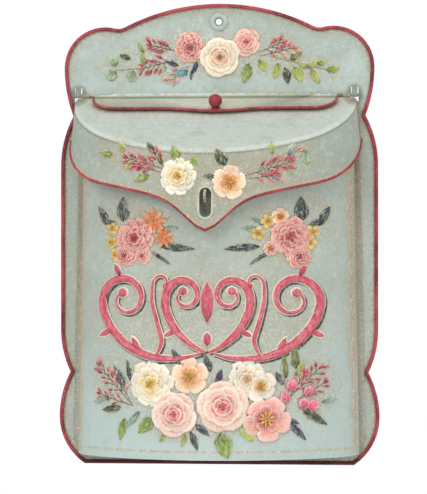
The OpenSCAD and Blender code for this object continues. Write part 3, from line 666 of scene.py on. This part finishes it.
class Relief:
    """Raised work on one sheet: parts are placed flat in millimetres, then laid on the sheet."""

    def __init__(self, name, sheet, body, slot, seed):
        self.name, self.sheet, self.body, self.slot_name = name, sheet, body, slot
        self.parts = []
        self.chance = random.Random(seed)

    def put(self, form, at, size, turn, lift, height, colours, tilt=0.0, roll=0.0, bend=0.0):
        """One copy of a form, its root at `at`, pointing along `turn` degrees from the right."""
        mesh = FORMS[form].data.copy()
        count = len(mesh.vertices)
        co, place = np.empty(count * 3), np.empty(count * 3)
        mesh.vertices.foreach_get("co", co)
        mesh.attributes["place"].data.foreach_get("vector", place)
        co, place = co.reshape(-1, 3), place.reshape(-1, 3)
        top = place[:, 2:3] > 0.5
        length, width = size
        across = co[:, 0] * width + bend * width * (co[:, 1] ** 2)
        along = co[:, 1] * length
        a = math.radians(turn)
        flat = np.empty((count, 3))
        flat[:, 0] = at[0] + math.cos(a) * along + math.sin(a) * across
        flat[:, 1] = at[1] + math.sin(a) * along - math.cos(a) * across
        flat[:, 2] = np.where(top[:, 0], lift + co[:, 2] * height + tilt * co[:, 1] + roll * place[:, 0], SUNK)
        mesh.vertices.foreach_set("co", flat.ravel())
        brush = np.stack([place[:, 0] * width, along, np.full(count, self.chance.uniform(0, 90))], axis=1)
        mesh.attributes["brush"].data.foreach_set("vector", brush.ravel())
        # root, body and lip run into each other, a little lighter or redder from petal to petal
        root, body, lip = (np.array(c[:3]) for c in colours)
        jitter, flush = self.chance.uniform(0.84, 1.1), self.chance.uniform(0.0, 0.3)
        body = body + (root - body) * flush
        v = place[:, 1:2]
        inner = root + (body - root) * np.clip(v / 0.5, 0, 1)
        outer = body + (lip - body) * np.clip((v - 0.5) / 0.42, 0, 1) ** 3
        paint = np.clip(np.where(v < 0.5, inner, outer) * jitter, 0, 1)
        colour = np.ones((count, 4))
        # painted shade: the sunk back is darker, so the sides darken down to the sheet
        colour[:, :3] = np.where(top, paint, paint * 0.45)
        mesh.attributes["paint"].data.foreach_set("color", colour.ravel())
        part = bpy.data.objects.new(self.name + "_part", mesh)
        bpy.context.scene.collection.objects.link(part)
        self.parts.append(part)

    # ---- leaves, buds and stems
    def leaf(self, x, z, length, width, turn, tone, kind="leaf", bend=0.0):
        base = LEAF_TONES[tone]
        dark = tuple(c * 0.5 for c in base[:3])
        light = tuple(min(1, c * 1.35 + 0.05) for c in base[:3])
        a = math.radians(turn)
        root = (x - math.cos(a) * length / 2, z - math.sin(a) * length / 2)
        self.put(kind, root, (length, width), turn, 0.2, 1.3, (dark, base, light), bend=bend)

    def leaves(self, *rows):
        for row in rows:
            self.leaf(*row)

    def stem(self, x0, z0, x1, z1, tone, width=0.8, bend=0.0):
        length, turn = math.hypot(x1 - x0, z1 - z0), math.degrees(math.atan2(z1 - z0, x1 - x0))
        self.put("round", (x0, z0), (length, width), turn, 0.1, 0.6, (LEAF_TONES[tone],) * 3, bend=bend)

    def spray(self, x0, z0, x1, z1, count, tone, size, spread, stem_tone="bark"):
        """A stem with small buds to both sides, from (x0, z0) to (x1, z1)."""
        turn = math.degrees(math.atan2(z1 - z0, x1 - x0))
        self.stem(x0, z0, x1, z1, stem_tone, 0.9)
        for i in range(count):
            share = 0.25 + 0.75 * (i + 0.5) / count
            side = 1 if i % 2 else -1
            away = spread * (1 - 0.55 * share) * self.chance.uniform(0.6, 1.1)
            lean = turn + side * self.chance.uniform(28, 48)
            bx, bz = x0 + (x1 - x0) * share, z0 + (z1 - z0) * share
            a = math.radians(lean)
            tip = (bx + math.cos(a) * away, bz + math.sin(a) * away)
            self.stem(bx, bz, tip[0], tip[1], stem_tone, 0.7)
            grow = self.chance.uniform(0.85, 1.2) * size
            self.put("bud", tip, (grow * 1.65, grow * 0.7), lean, 0.3, 1.3, BUD_TONES[tone])
        self.put("bud", (x1, z1), (size * 1.3, size * 0.75), turn, 0.3, 1.3, BUD_TONES[tone])

    # ---- flowers
    def rings(self, x, z, d, lift, *rows):
        """Rings of one form on a flower's centre; each start, reach and width is a share of its radius."""
        r = d / 2
        for form, count, start, reach, width, first, rise, height, colours, tilt, roll, ragged in rows:
            for i in range(count):
                turn = first + 360 * i / count + self.chance.uniform(-1, 1) * 22 * ragged
                a = math.radians(turn)
                at = (x + math.cos(a) * r * start, z + math.sin(a) * r * start)
                grow = 1 + self.chance.uniform(-1, 1) * ragged
                self.put(form, at, (r * (reach - start) * grow, r * width), turn,
                         lift + rise + self.chance.uniform(0, 0.18), height, colours, tilt, roll)

    def rose(self, x, z, d, tone, lift=0.0):
        outer, middle, heart, lip = FLOWER_TONES[tone]
        first = self.chance.uniform(0, 72)
        self.rings(x, z, d, lift,
                   ("petal", 5, 0.12, 1.0, 1.0, first, 0.1, 1.1, (middle, outer, lip), 0.2, 0.35, 0.05),
                   ("petal", 5, 0.06, 0.78, 0.8, first + 36, 0.9, 1.0, (middle, outer, lip), 0.1, 0.35, 0.04),
                   ("petal", 4, 0.0, 0.56, 0.62, first + 12, 1.6, 0.9, (heart, middle, lip), 0.0, 0.3, 0.04),
                   ("petal", 4, 0.0, 0.37, 0.44, first + 50, 2.1, 0.8, (heart, middle, lip), 0.0, 0.3, 0.0),
                   ("petal", 3, 0.0, 0.21, 0.26, first + 20, 2.5, 0.6, (heart, heart, lip), 0.0, 0.25, 0.0))

    def peony(self, x, z, d, tone, lift=0.0):
        outer, middle, heart, lip = FLOWER_TONES[tone]
        first = self.chance.uniform(0, 40)
        self.rings(x, z, d, lift,
                   ("ruffle", 9, 0.2, 1.0, 0.62, first, 0.1, 1.0, (middle, outer, lip), 0.1, 0.3, 0.1),
                   ("ruffle", 8, 0.1, 0.8, 0.5, first + 20, 0.8, 1.0, (heart, outer, lip), 0.1, 0.3, 0.12),
                   ("ruffle", 7, 0.05, 0.58, 0.4, first + 5, 1.5, 0.9, (heart, middle, lip), 0.1, 0.3, 0.12),
                   ("ruffle", 5, 0.0, 0.38, 0.32, first + 33, 2.0, 0.8, (heart, middle, lip), 0.0, 0.2, 0.1),
                   ("bud", 5, 0.0, 0.2, 0.12, first, 2.5, 0.7, (heart, heart, middle), 0.0, 0.0, 0.2))

    def open_flower(self, x, z, d, tone, lift=0.0, first=None):
        outer, middle, heart, lip = FLOWER_TONES[tone]
        first = self.chance.uniform(0, 72) if first is None else first
        self.rings(x, z, d, lift,
                   ("open", 5, 0.06, 1.0, 1.08, first, 0.2, 1.1, (middle, outer, lip), 0.3, 0.4, 0.06),
                   ("open", 5, 0.04, 0.62, 0.6, first + 36, 0.9, 0.9, (heart, middle, lip), 0.1, 0.3, 0.08),
                   ("bud", 9, 0.08, 0.36, 0.1, first, 1.5, 0.6, STAMEN, 0.2, 0.0, 0.15),
                   ("bud", 4, 0.0, 0.16, 0.14, first, 1.9, 0.6, EYE, 0.0, 0.0, 0.1))

    def star_flower(self, x, z, d, tone, lift=0.0):
        _, middle, heart, lip = FLOWER_TONES[tone]
        first = self.chance.uniform(0, 60)
        self.rings(x, z, d, lift,
                   ("ray", 8, 0.0, 1.0, 0.42, first, 0.3, 1.3, (heart, middle, lip), 0.2, 0.0, 0.12),
                   ("bud", 4, 0.0, 0.26, 0.2, 10, 1.3, 0.6, EYE, 0.0, 0.0, 0.0))

    def small_flower(self, x, z, d, tone, lift=0.0):
        _, middle, heart, lip = FLOWER_TONES[tone]
        first = self.chance.uniform(0, 72)
        self.rings(x, z, d, lift,
                   ("round", 5, 0.1, 1.0, 0.85, first, 0.3, 1.2, (heart, middle, lip), 0.2, 0.0, 0.0),
                   ("bud", 3, 0.0, 0.3, 0.3, 10, 1.4, 0.6, EYE, 0.0, 0.0, 0.0))

    # ---- scroll strokes
    def stroke(self, path, widths, height, colours, shift=(0.0, 0.0)):
        """A rounded strip along a path of (x, z) points, with a half width at each point."""
        rows = len(path) - 1
        strip = slab(self.name + "_part", 4, rows)
        mesh = strip.data
        place, paint, brush = (mesh.attributes[name] for name in ("place", "paint", "brush"))
        first = self.chance.uniform(0, 90)
        run = np.gradient(path, axis=0)
        run /= np.linalg.norm(run, axis=1)[:, None]
        low_tone, crest_highlight_tone = (np.array(c[:3]) for c in colours)
        for i, vertex in enumerate(mesh.vertices):
            u, row, top = vertex.co.x, round((vertex.co.y + 1) / 2 * rows), vertex.co.z > 0.5
            half = widths[row]
            x = path[row, 0] + run[row, 1] * u * half + shift[0]
            z = path[row, 1] - run[row, 0] * u * half + shift[1]
            dome = math.sqrt(max(0.0, 1 - (abs(u) ** 2.6)))
            vertex.co = (x, z, height * (0.12 + 0.88 * dome) if top else SUNK)
            place.data[i].vector = (u, row / rows, 1.0 if top else 0.0)
            brush.data[i].vector = (u * half, row * 1.6, first)
            # lighter on the crest than on the flanks: a painted highlight
            paint.data[i].color = (*(low_tone + (crest_highlight_tone - low_tone) * dome), 1.0)
        self.parts.append(strip)

    # ---- joining and laying on the sheet
    def lay(self, material):
        choose(*self.parts)
        bpy.ops.object.join()
        piece = bpy.context.object
        piece.name = piece.data.name = self.name
        sheet = self.sheet.data
        tree = BVHTree.FromPolygons([v.co for v in sheet.vertices], [tuple(p.vertices) for p in sheet.polygons])
        start, toward = -0.3, Vector((0, 1, 0))
        for vertex in piece.data.vertices:
            x, z, rise = vertex.co
            hit, normal, _, _ = tree.ray_cast(Vector((x * MM, start, z * MM)), toward)
            if hit is None:
                raise ValueError(f"{self.name}: nothing behind ({x:.1f}, {z:.1f})")
            vertex.co = hit + normal * (rise * MM)
        in_edit_mode(piece)
        bpy.ops.mesh.select_all(action="SELECT")
        bpy.ops.mesh.normals_make_consistent(inside=False)
        bpy.ops.object.mode_set(mode="OBJECT")
        piece.data.materials.clear()
        piece.data.materials.append(material)
        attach(piece, self.body)


def relief_paint(name, shift, pale_streaks=0.55, edge_light=0.6):
    """Hand-coloured raised work: its own colours, brushed, rubbed to cream, with tan left in the lows and painted
    shade where parts overlap.
    """
    n = Nodes(name)
    own = n.attribute("paint", "Color")
    fine = n.noise(700, 3, 0.65, shift=shift)
    brush = n.noise(240, 4, 0.7, stretch=(1, 1, 0.5), shift=shift + 1, distortion=1.2)
    # strokes of the brush run along each petal and leaf
    streak = n.noise(1.0, 3.0, 0.5, stretch=(0.85, 0.2, 1.0), distortion=0.6, source=n.attribute("brush", "Vector"))
    colour = n.over(own, CREAM, n.band(streak, 0.54, 0.66), pale_streaks)
    colour = n.over(colour, own, n.band(streak, 0.47, 0.36), 0.6, "MULTIPLY")
    colour = n.over(colour, CREAM, n.band(brush, 0.5, 0.7), 0.2)
    colour = n.over(colour, own, n.band(brush, 0.44, 0.3), 0.3, "MULTIPLY")
    # painted shade: deeper tones where one petal stands over the next
    colour = n.over(colour, own, n.band(n.corner(2 * MM), 0.18, 0.52), 0.95, "MULTIPLY")
    # a pale line left along the edge of each petal and leaf
    across, _, top = n.axes(n.attribute("place", "Vector"))
    edge = n.times(n.band(n.math("ABSOLUTE", across), 0.66, 0.9), n.band(brush, 0.4, 0.56))
    colour = n.over(colour, CREAM, n.times(edge, top), edge_light)
    colour = n.over(colour, CREAM, n.band(fine, 0.64, 0.72), 0.55)
    colour = n.over(colour, TAN, n.band(fine, 0.36, 0.3), 0.45)
    return n.finish(colour, n.band(brush, 1.3, 0.0), n.math("ADD", fine, n.times(streak, 2.0)))


def smooth_path(points, step):
    """A path through the given points, evenly stepped."""
    p = np.array(points, dtype=float)
    p = np.vstack([2 * p[0] - p[1], p, 2 * p[-1] - p[-2]])
    fine = []
    for i in range(1, len(p) - 2):
        a, b, c, d = p[i - 1:i + 3]
        for t in np.linspace(0, 1, 24, endpoint=False):
            bend = (2 * a - 5 * b + 4 * c - d) * t * t + (3 * b - a - 3 * c + d) * t ** 3
            fine.append(0.5 * (2 * b + (c - a) * t + bend))
    fine = np.array(fine + [p[-2]])
    run = np.concatenate([[0], np.cumsum(np.linalg.norm(np.diff(fine, axis=0), axis=1))])
    marks = np.linspace(0, run[-1], max(6, int(run[-1] / step)))
    return np.stack([np.interp(marks, run, fine[:, 0]), np.interp(marks, run, fine[:, 1])], axis=1)


def curl(cx, cz, r_out, r_in, first, sweep, count=14):
    """Points of a closing spiral, from its outside in; sweep in degrees, negative for clockwise."""
    points = []
    for i in range(count):
        t = i / (count - 1)
        a = math.radians(first + sweep * t)
        r = r_out + (r_in - r_out) * t ** 0.85
        points.append((cx + math.cos(a) * r, cz + math.sin(a) * r))
    return points


# ---------------------------------------------------------------- crest flowers on the back plate
# a leaf is x, z, length, width, turn, tone and kind, and a spray x, z, x, z, buds, tone, size and spread
flower_paint = relief_paint("relief_colours", 51.0)
crest = Relief("crest_flowers", plate, "housing", "plate_paint", 11)
crest.leaves(
    (-92, -34, 9, 8.5, 100, "gum", "round"), (-82, -30, 10, 5.5, 160, "dark", "round"),
    (-94, -46, 10, 10.5, 210, "gum", "round"), (-76, -47, 10, 9.5, 250, "gum", "round"),
    (-68, -22, 10, 5, 120, "green"), (-66, -32, 11, 6, 110, "green"), (-49, -41, 8, 5.5, 230, "gum"),
    (-33, -44, 13, 8, 195, "teal"), (-41, -36, 12, 5, 160, "navy"), (-21, -40, 12, 4.5, 250, "navy"),
    (-24, -46, 9, 3.2, 265, "navy"), (24, -45, 18, 10, 255, "green"), (38, -38, 12, 8, 300, "lime"),
    (50, -43, 14, 7.5, 255, "lime"), (59, -47, 15, 8, 280, "dark"), (69, -46, 15, 9, 295, "lime"),
    (67, -30, 12, 6.5, 30, "olive"), (82, -37, 12, 5.5, 40, "lime"), (84, -48, 14, 8, 300, "lime"),
    (99, -42, 12, 6.5, 5, "green"), (90, -36, 9, 5, 20, "lime"), (73, -38, 9, 6, 160, "lime"))
crest.stem(-70, -40, -92, -42, "olive")
crest.stem(-62, -34, -69, -22, "olive")
crest.stem(44, -30, 96, -42, "olive", 0.9, bend=0.8)
crest.spray(-34, -26, -59, -20, 9, "red", 3.8, 6)
crest.spray(-36, -32, -66, -40, 10, "red", 3.8, 7)
crest.spray(-26, -38, -42, -51, 5, "blush", 3.6, 5.5)
crest.spray(34, -27, 55, -18, 7, "red", 3.8, 5.5)
crest.spray(36, -30, 65, -23, 7, "blush", 4, 6)
crest.peony(-25, -22, 29, "pink")
crest.rose(24, -18, 25, "blush")
crest.rose(1, -31, 36, "cream", 0.6)
crest.lay(flower_paint)

# ---------------------------------------------------------------- lid flowers on the apron
apron = Relief("lid_flowers", lid, "lid", "lid_paint", 12)
apron.leaves(
    (-89, -117, 12, 6.5, 170, "green"), (-75, -112, 11, 6.5, 120, "lime"), (-68, -127, 10, 5.5, 200, "lime"),
    (-57, -138, 14, 8, 200, "green"), (-49, -113, 12, 6, 130, "dark"), (-41, -122, 10, 5, 110, "olive"),
    (-28, -118, 14, 8.5, 110, "green"), (-13, -125, 13, 7.5, 60, "green"), (10, -121, 16, 10, 120, "dark"),
    (2, -137, 13, 5.5, 175, "dark"), (52, -113, 10, 4.5, 92, "lime"), (68, -114, 12, 6, 60, "mist", "round"),
    (80, -120, 12, 10, 290, "gum", "round"), (56, -139, 11, 5.5, 320, "mist", "round"),
    (69, -133, 10, 5.5, 330, "gum", "round"), (47, -133, 9, 5, 300, "mist"))
apron.spray(-36, -131, -70, -121, 11, "red", 4, 6)
apron.spray(-38, -134, -62, -127, 6, "red", 3.8, 4.5)
apron.spray(-38, -129, -46, -118, 3, "red", 4.4, 3)
apron.spray(28, -137, 66, -125, 12, "red", 4.2, 6)
apron.spray(32, -139, 56, -136, 5, "pink", 3.6, 4.5)
apron.spray(60, -124, 74, -114, 3, "blush", 2.8, 4, "mist")
apron.peony(-26, -137, 33, "butter")
apron.open_flower(17, -142, 31, "peach", first=80)
apron.lay(flower_paint)

# ---------------------------------------------------------------- flowers on the bin
posy = Relief("bin_flowers", bin_shell, "housing", "bin_paint", 13)
for side in (-1, 1):
    for x, z, length, width, turn, tone in (
            (-94, -170, 19, 8, 125, "slate"), (-76, -164, 21, 12, 95, "slate"), (-27, -196, 30, 7, -2, "slate"),
            (-41, -205, 19, 3.8, -32, "slate"), (-33, -180, 13, 5, 8, "mist"), (-40, -174, 12, 4, 30, "mist"),
            (-86, -176, 12, 6, 150, "slate")):
        posy.leaf(side * x, z, length, width, turn if side > 0 else 180 - turn, tone, bend=0.15 * side)
for x, z, d in ((-85, -180, 11), (-86, -192, 11), (-82, -202, 11), (48, -174, 12), (40, -184, 12), (84, -183, 12),
                (82, -192, 12)):
    posy.small_flower(x, z, d, "yellow")
posy.star_flower(-48, -174, 22, "orange", 0.3)
posy.star_flower(-39, -188, 18, "orange", 0.3)
posy.open_flower(58, -170, 15, "peach")
posy.peony(-73, -203, 21, "pink", 0.1)
posy.peony(-57, -203, 16, "blush", 0.1)
posy.peony(73, -204, 22, "pink", 0.1)
posy.peony(-64, -188, 35, "pink", 0.5)
posy.peony(66, -187, 36, "pink", 0.5)
posy.open_flower(50, -197, 13, "blush", 0.2)
# the bouquet at the foot
posy.leaves(
    (-27, -288, 17, 7, 130, "slate"), (-2, -292, 17, 7, 110, "slate"), (-78, -306, 22, 8, 120, "teal_deep"),
    (-70, -300, 18, 5, 100, "slate"), (8, -304, 13, 6, 70, "navy"), (-86, -333, 18, 7, 190, "dark"),
    (-66, -341, 17, 6.5, 230, "mist"), (-76, -350, 19, 8, 255, "green"), (-55, -346, 18, 12, 225, "green"),
    (-40, -356, 9, 4.5, 230, "green"), (-22, -358, 11, 5, 250, "lime"), (-6, -349, 15, 6.5, 320, "navy"),
    (-13, -358, 17, 6.5, 290, "slate"), (12, -362, 22, 15, 285, "green"), (32, -350, 18, 14, 290, "lime"),
    (86, -339, 25, 8, 325, "dark"), (72, -350, 22, 6.5, 310, "navy"), (66, -341, 17, 5.5, 335, "navy"),
    (62, -296, 20, 6, 95, "olive"), (70, -288, 21, 9, 95, "olive"), (74, -298, 14, 5.5, 60, "lime"),
    (58, -306, 13, 6, 120, "slate"), (-96, -326, 14, 6, 200, "mist"), (-48, -292, 12, 6, 100, "mist"),
    (60, -330, 15, 7, 80, "slate"), (24, -300, 12, 5, 100, "olive"), (98, -326, 12, 5, 10, "mist"))
posy.spray(-68, -328, -98, -297, 11, "red", 3.4, 8)
posy.spray(-66, -330, -97, -321, 7, "red", 3.2, 6)
posy.spray(-66, -330, -84, -302, 6, "blush", 3.2, 5)
posy.spray(66, -322, 90, -298, 9, "red", 3.4, 8)
posy.spray(72, -324, 94, -311, 6, "red", 3.2, 6)
posy.spray(66, -322, 78, -302, 6, "pink", 3.4, 5)
posy.open_flower(-17, -304, 33, "peach", 0.0, first=95)
posy.peony(-50, -311, 42, "butter", 0.2)
posy.peony(31, -306, 34, "white", 0.0)
posy.open_flower(42, -312, 28, "white", 0.6)
posy.open_flower(47, -340, 40, "blush", 0.4, first=60)
posy.rose(-30, -336, 40, "shell", 0.8)
posy.rose(11, -329, 45, "shell", 1.0)
for x, z, turn in ((70, -313, 70), (83, -318, 60), (77, -327, 30), (68, -322, 110), (84, -328, 20)):
    posy.put("bud", (x - 4, z - 4), (11, 9), turn, 0.8, 2.0, BUD_TONES["pink"])
    posy.put("petal", (x - 3, z - 4), (9, 8), turn + 18, 1.6, 0.9, BUD_TONES["pink"])
posy.lay(flower_paint)

# ---------------------------------------------------------------- scrollwork across the bin
SCROLL_X, SCROLL_Z = -2.0, -257.0
# each pair is the flank tone and the painted highlight on the crest of a stroke; the drop line is a painted shadow
PINK = (rgb(170, 56, 82), rgb(212, 96, 118))
EDGE = (rgb(206, 198, 172), rgb(236, 232, 216))
DROP_SHADOW = (rgb(52, 58, 56), rgb(84, 90, 84))
PINK_FORM, EDGE_FORM = PINK + PINK[1:], EDGE + EDGE[1:]
TIP = 0.9                       # half width of a stroke at its ends
# the points of a stroke, its widest half width, and how far along that comes
STROKES = (
    ([(-5, -28), (-22, -32), (-48, -31), (-72, -20), (-88, -2)] + curl(-71, 17, 22, 6, 185, -430), 4.0, 0.42),
    ([(-1, -27), (-13, -21), (-27, -8), (-35, 8)] + curl(-19, 20, 16.5, 4.5, 180, -430), 3.7, 0.38),
    ([(-44, -31), (-39, -18), (-43, -2), (-47, 15)] + curl(-38.5, 31, 8.5, 3.4, 190, -230, 8), 2.1, 0.3),
)
scrolls = Relief("scrollwork", bin_shell, "housing", "bin_paint", 14)
for side in (1, -1):
    for points, widest, swell in STROKES:
        path = smooth_path([(SCROLL_X + side * x, SCROLL_Z + z) for x, z in points], 2.0)
        share = np.linspace(0, 1, len(path)) ** (math.log(0.5) / math.log(swell))
        widths = TIP + (widest - TIP) * np.sin(np.pi * share) ** 1.1
        widths[-4:] *= (1.0, 1.05, 1.15, 1.2)
        # a painted shadow: a dark stroke set down and to the right under each
        scrolls.stroke(path, widths + 0.9, 0.35, DROP_SHADOW, shift=(1.0, -1.0))
        scrolls.stroke(path, widths + 0.85, 0.75, EDGE)
        scrolls.stroke(path, widths, 1.7, PINK)
        x, z = path[-1]
        for down, size, lift, height, tones in ((1.35, 2.7, 0.0, 1.3, EDGE_FORM), (0.95, 1.9, 0.7, 1.5, PINK_FORM)):
            scrolls.put("pearl", (x, z - widest * down), (widest * size, widest * size), 90, lift, height, tones)
    for x, z, length, width, turn in ((-58, -28, 15, 5, 118), (-84, -9, 13, 5, 205), (-27, -9, 11, 4.5, 205),
                                      (-76, 37, 11, 5, 118)):
        at, lean = (SCROLL_X + side * x, SCROLL_Z + z), turn if side > 0 else 180 - turn
        scrolls.put("ray", at, (length + 2, width + 2.2), lean, 0.0, 0.7, EDGE_FORM)
        scrolls.put("ray", at, (length, width), lean, 0.5, 1.2, PINK_FORM)
for z, length, width in ((-2, 34, 11), (-22, 12, 7)):
    for grow, lift, tones in ((2.4, 0.0, EDGE_FORM), (0.0, 0.6, PINK_FORM)):
        scrolls.put("ray", (SCROLL_X, SCROLL_Z + z - grow / 2), (length + grow, width + grow), 90, lift, 1.3, tones)
scrolls.lay(relief_paint("scroll_colours", 61.0, 0.22, 0.15))

# ---------------------------------------------------------------- camera, light and backdrop
TURN = math.radians(5.2)
DISTANCE = 2.3
AIM = Vector((-4.8 * MM, 0, -195.75 * MM))
FLOOR_Z = -0.75
nothing_selected()
bpy.ops.object.camera_add()
camera = bpy.context.object
camera.location = AIM + DISTANCE * Vector((math.sin(TURN), -math.cos(TURN), 0))
camera.rotation_euler = (math.pi / 2, 0, TURN)
camera.data.lens = 192.7
bpy.context.scene.camera = camera


def soft_lamp(name, place, size, power):
    """A square lamp aimed at the middle of the box."""
    bpy.ops.object.light_add(type="AREA", location=place)
    lamp = bpy.context.object
    lamp.name = name
    lamp.data.size = size
    lamp.data.energy = power
    lamp.rotation_euler = (AIM - lamp.location).to_track_quat("-Z", "Y").to_euler()


soft_lamp("key_lamp", (-1.3, -2.9, 1.25), 1.5, 33)
soft_lamp("top_lamp", (0.2, -0.75, 1.75), 0.9, 9)
soft_lamp("fill_lamp", (2.3, -2.5, -0.45), 2.2, 27)


def white_when_seen(tree, surface, output):
    """Plain white where it is seen straight on or mirrored, and `surface` for the light it gives."""
    seen = tree.nodes.new("ShaderNodeEmission" if surface.type == "BSDF_DIFFUSE" else "ShaderNodeBackground")
    seen.inputs["Color"].default_value = (1, 1, 1, 1)
    seen.inputs["Strength"].default_value = 1.0
    path = tree.nodes.new("ShaderNodeLightPath")
    straight, mirrored = tree.nodes.new("ShaderNodeMath"), tree.nodes.new("ShaderNodeMath")
    straight.operation = mirrored.operation = "MAXIMUM"
    blend = tree.nodes.new("ShaderNodeMixShader")
    for start, end in ((path.outputs["Is Camera Ray"], straight.inputs[0]),
                       (path.outputs["Is Transmission Ray"], straight.inputs[1]),
                       (straight.outputs[0], mirrored.inputs[0]),
                       (path.outputs["Is Glossy Ray"], mirrored.inputs[1]),
                       (mirrored.outputs[0], blend.inputs[0]), (surface.outputs[0], blend.inputs[1]),
                       (seen.outputs[0], blend.inputs[2]), (blend.outputs[0], output.inputs["Surface"])):
        tree.links.new(start, end)


world = bpy.data.worlds.new("studio")
bpy.context.scene.world = world
world.use_nodes = True
sky = world.node_tree.nodes["Background"]
sky.inputs["Color"].default_value = (1.0, 0.99, 0.97, 1)
sky.inputs["Strength"].default_value = 0.7
white_when_seen(world.node_tree, sky, world.node_tree.nodes["World Output"])

nothing_selected()
bpy.ops.mesh.primitive_plane_add(size=9, location=(0, -1.0, FLOOR_Z))
floor = bpy.context.object
floor.name = "studio_floor"
pale = bpy.data.materials.new("floor_pale")
pale.use_nodes = True
pale.node_tree.nodes.remove(pale.node_tree.nodes["Principled BSDF"])
matt = pale.node_tree.nodes.new("ShaderNodeBsdfDiffuse")
matt.inputs["Color"].default_value = (0.82, 0.82, 0.8, 1)
white_when_seen(pale.node_tree, matt, pale.node_tree.nodes["Material Output"])
floor.data.materials.append(pale)

bpy.context.scene.view_settings.view_transform = "Standard"
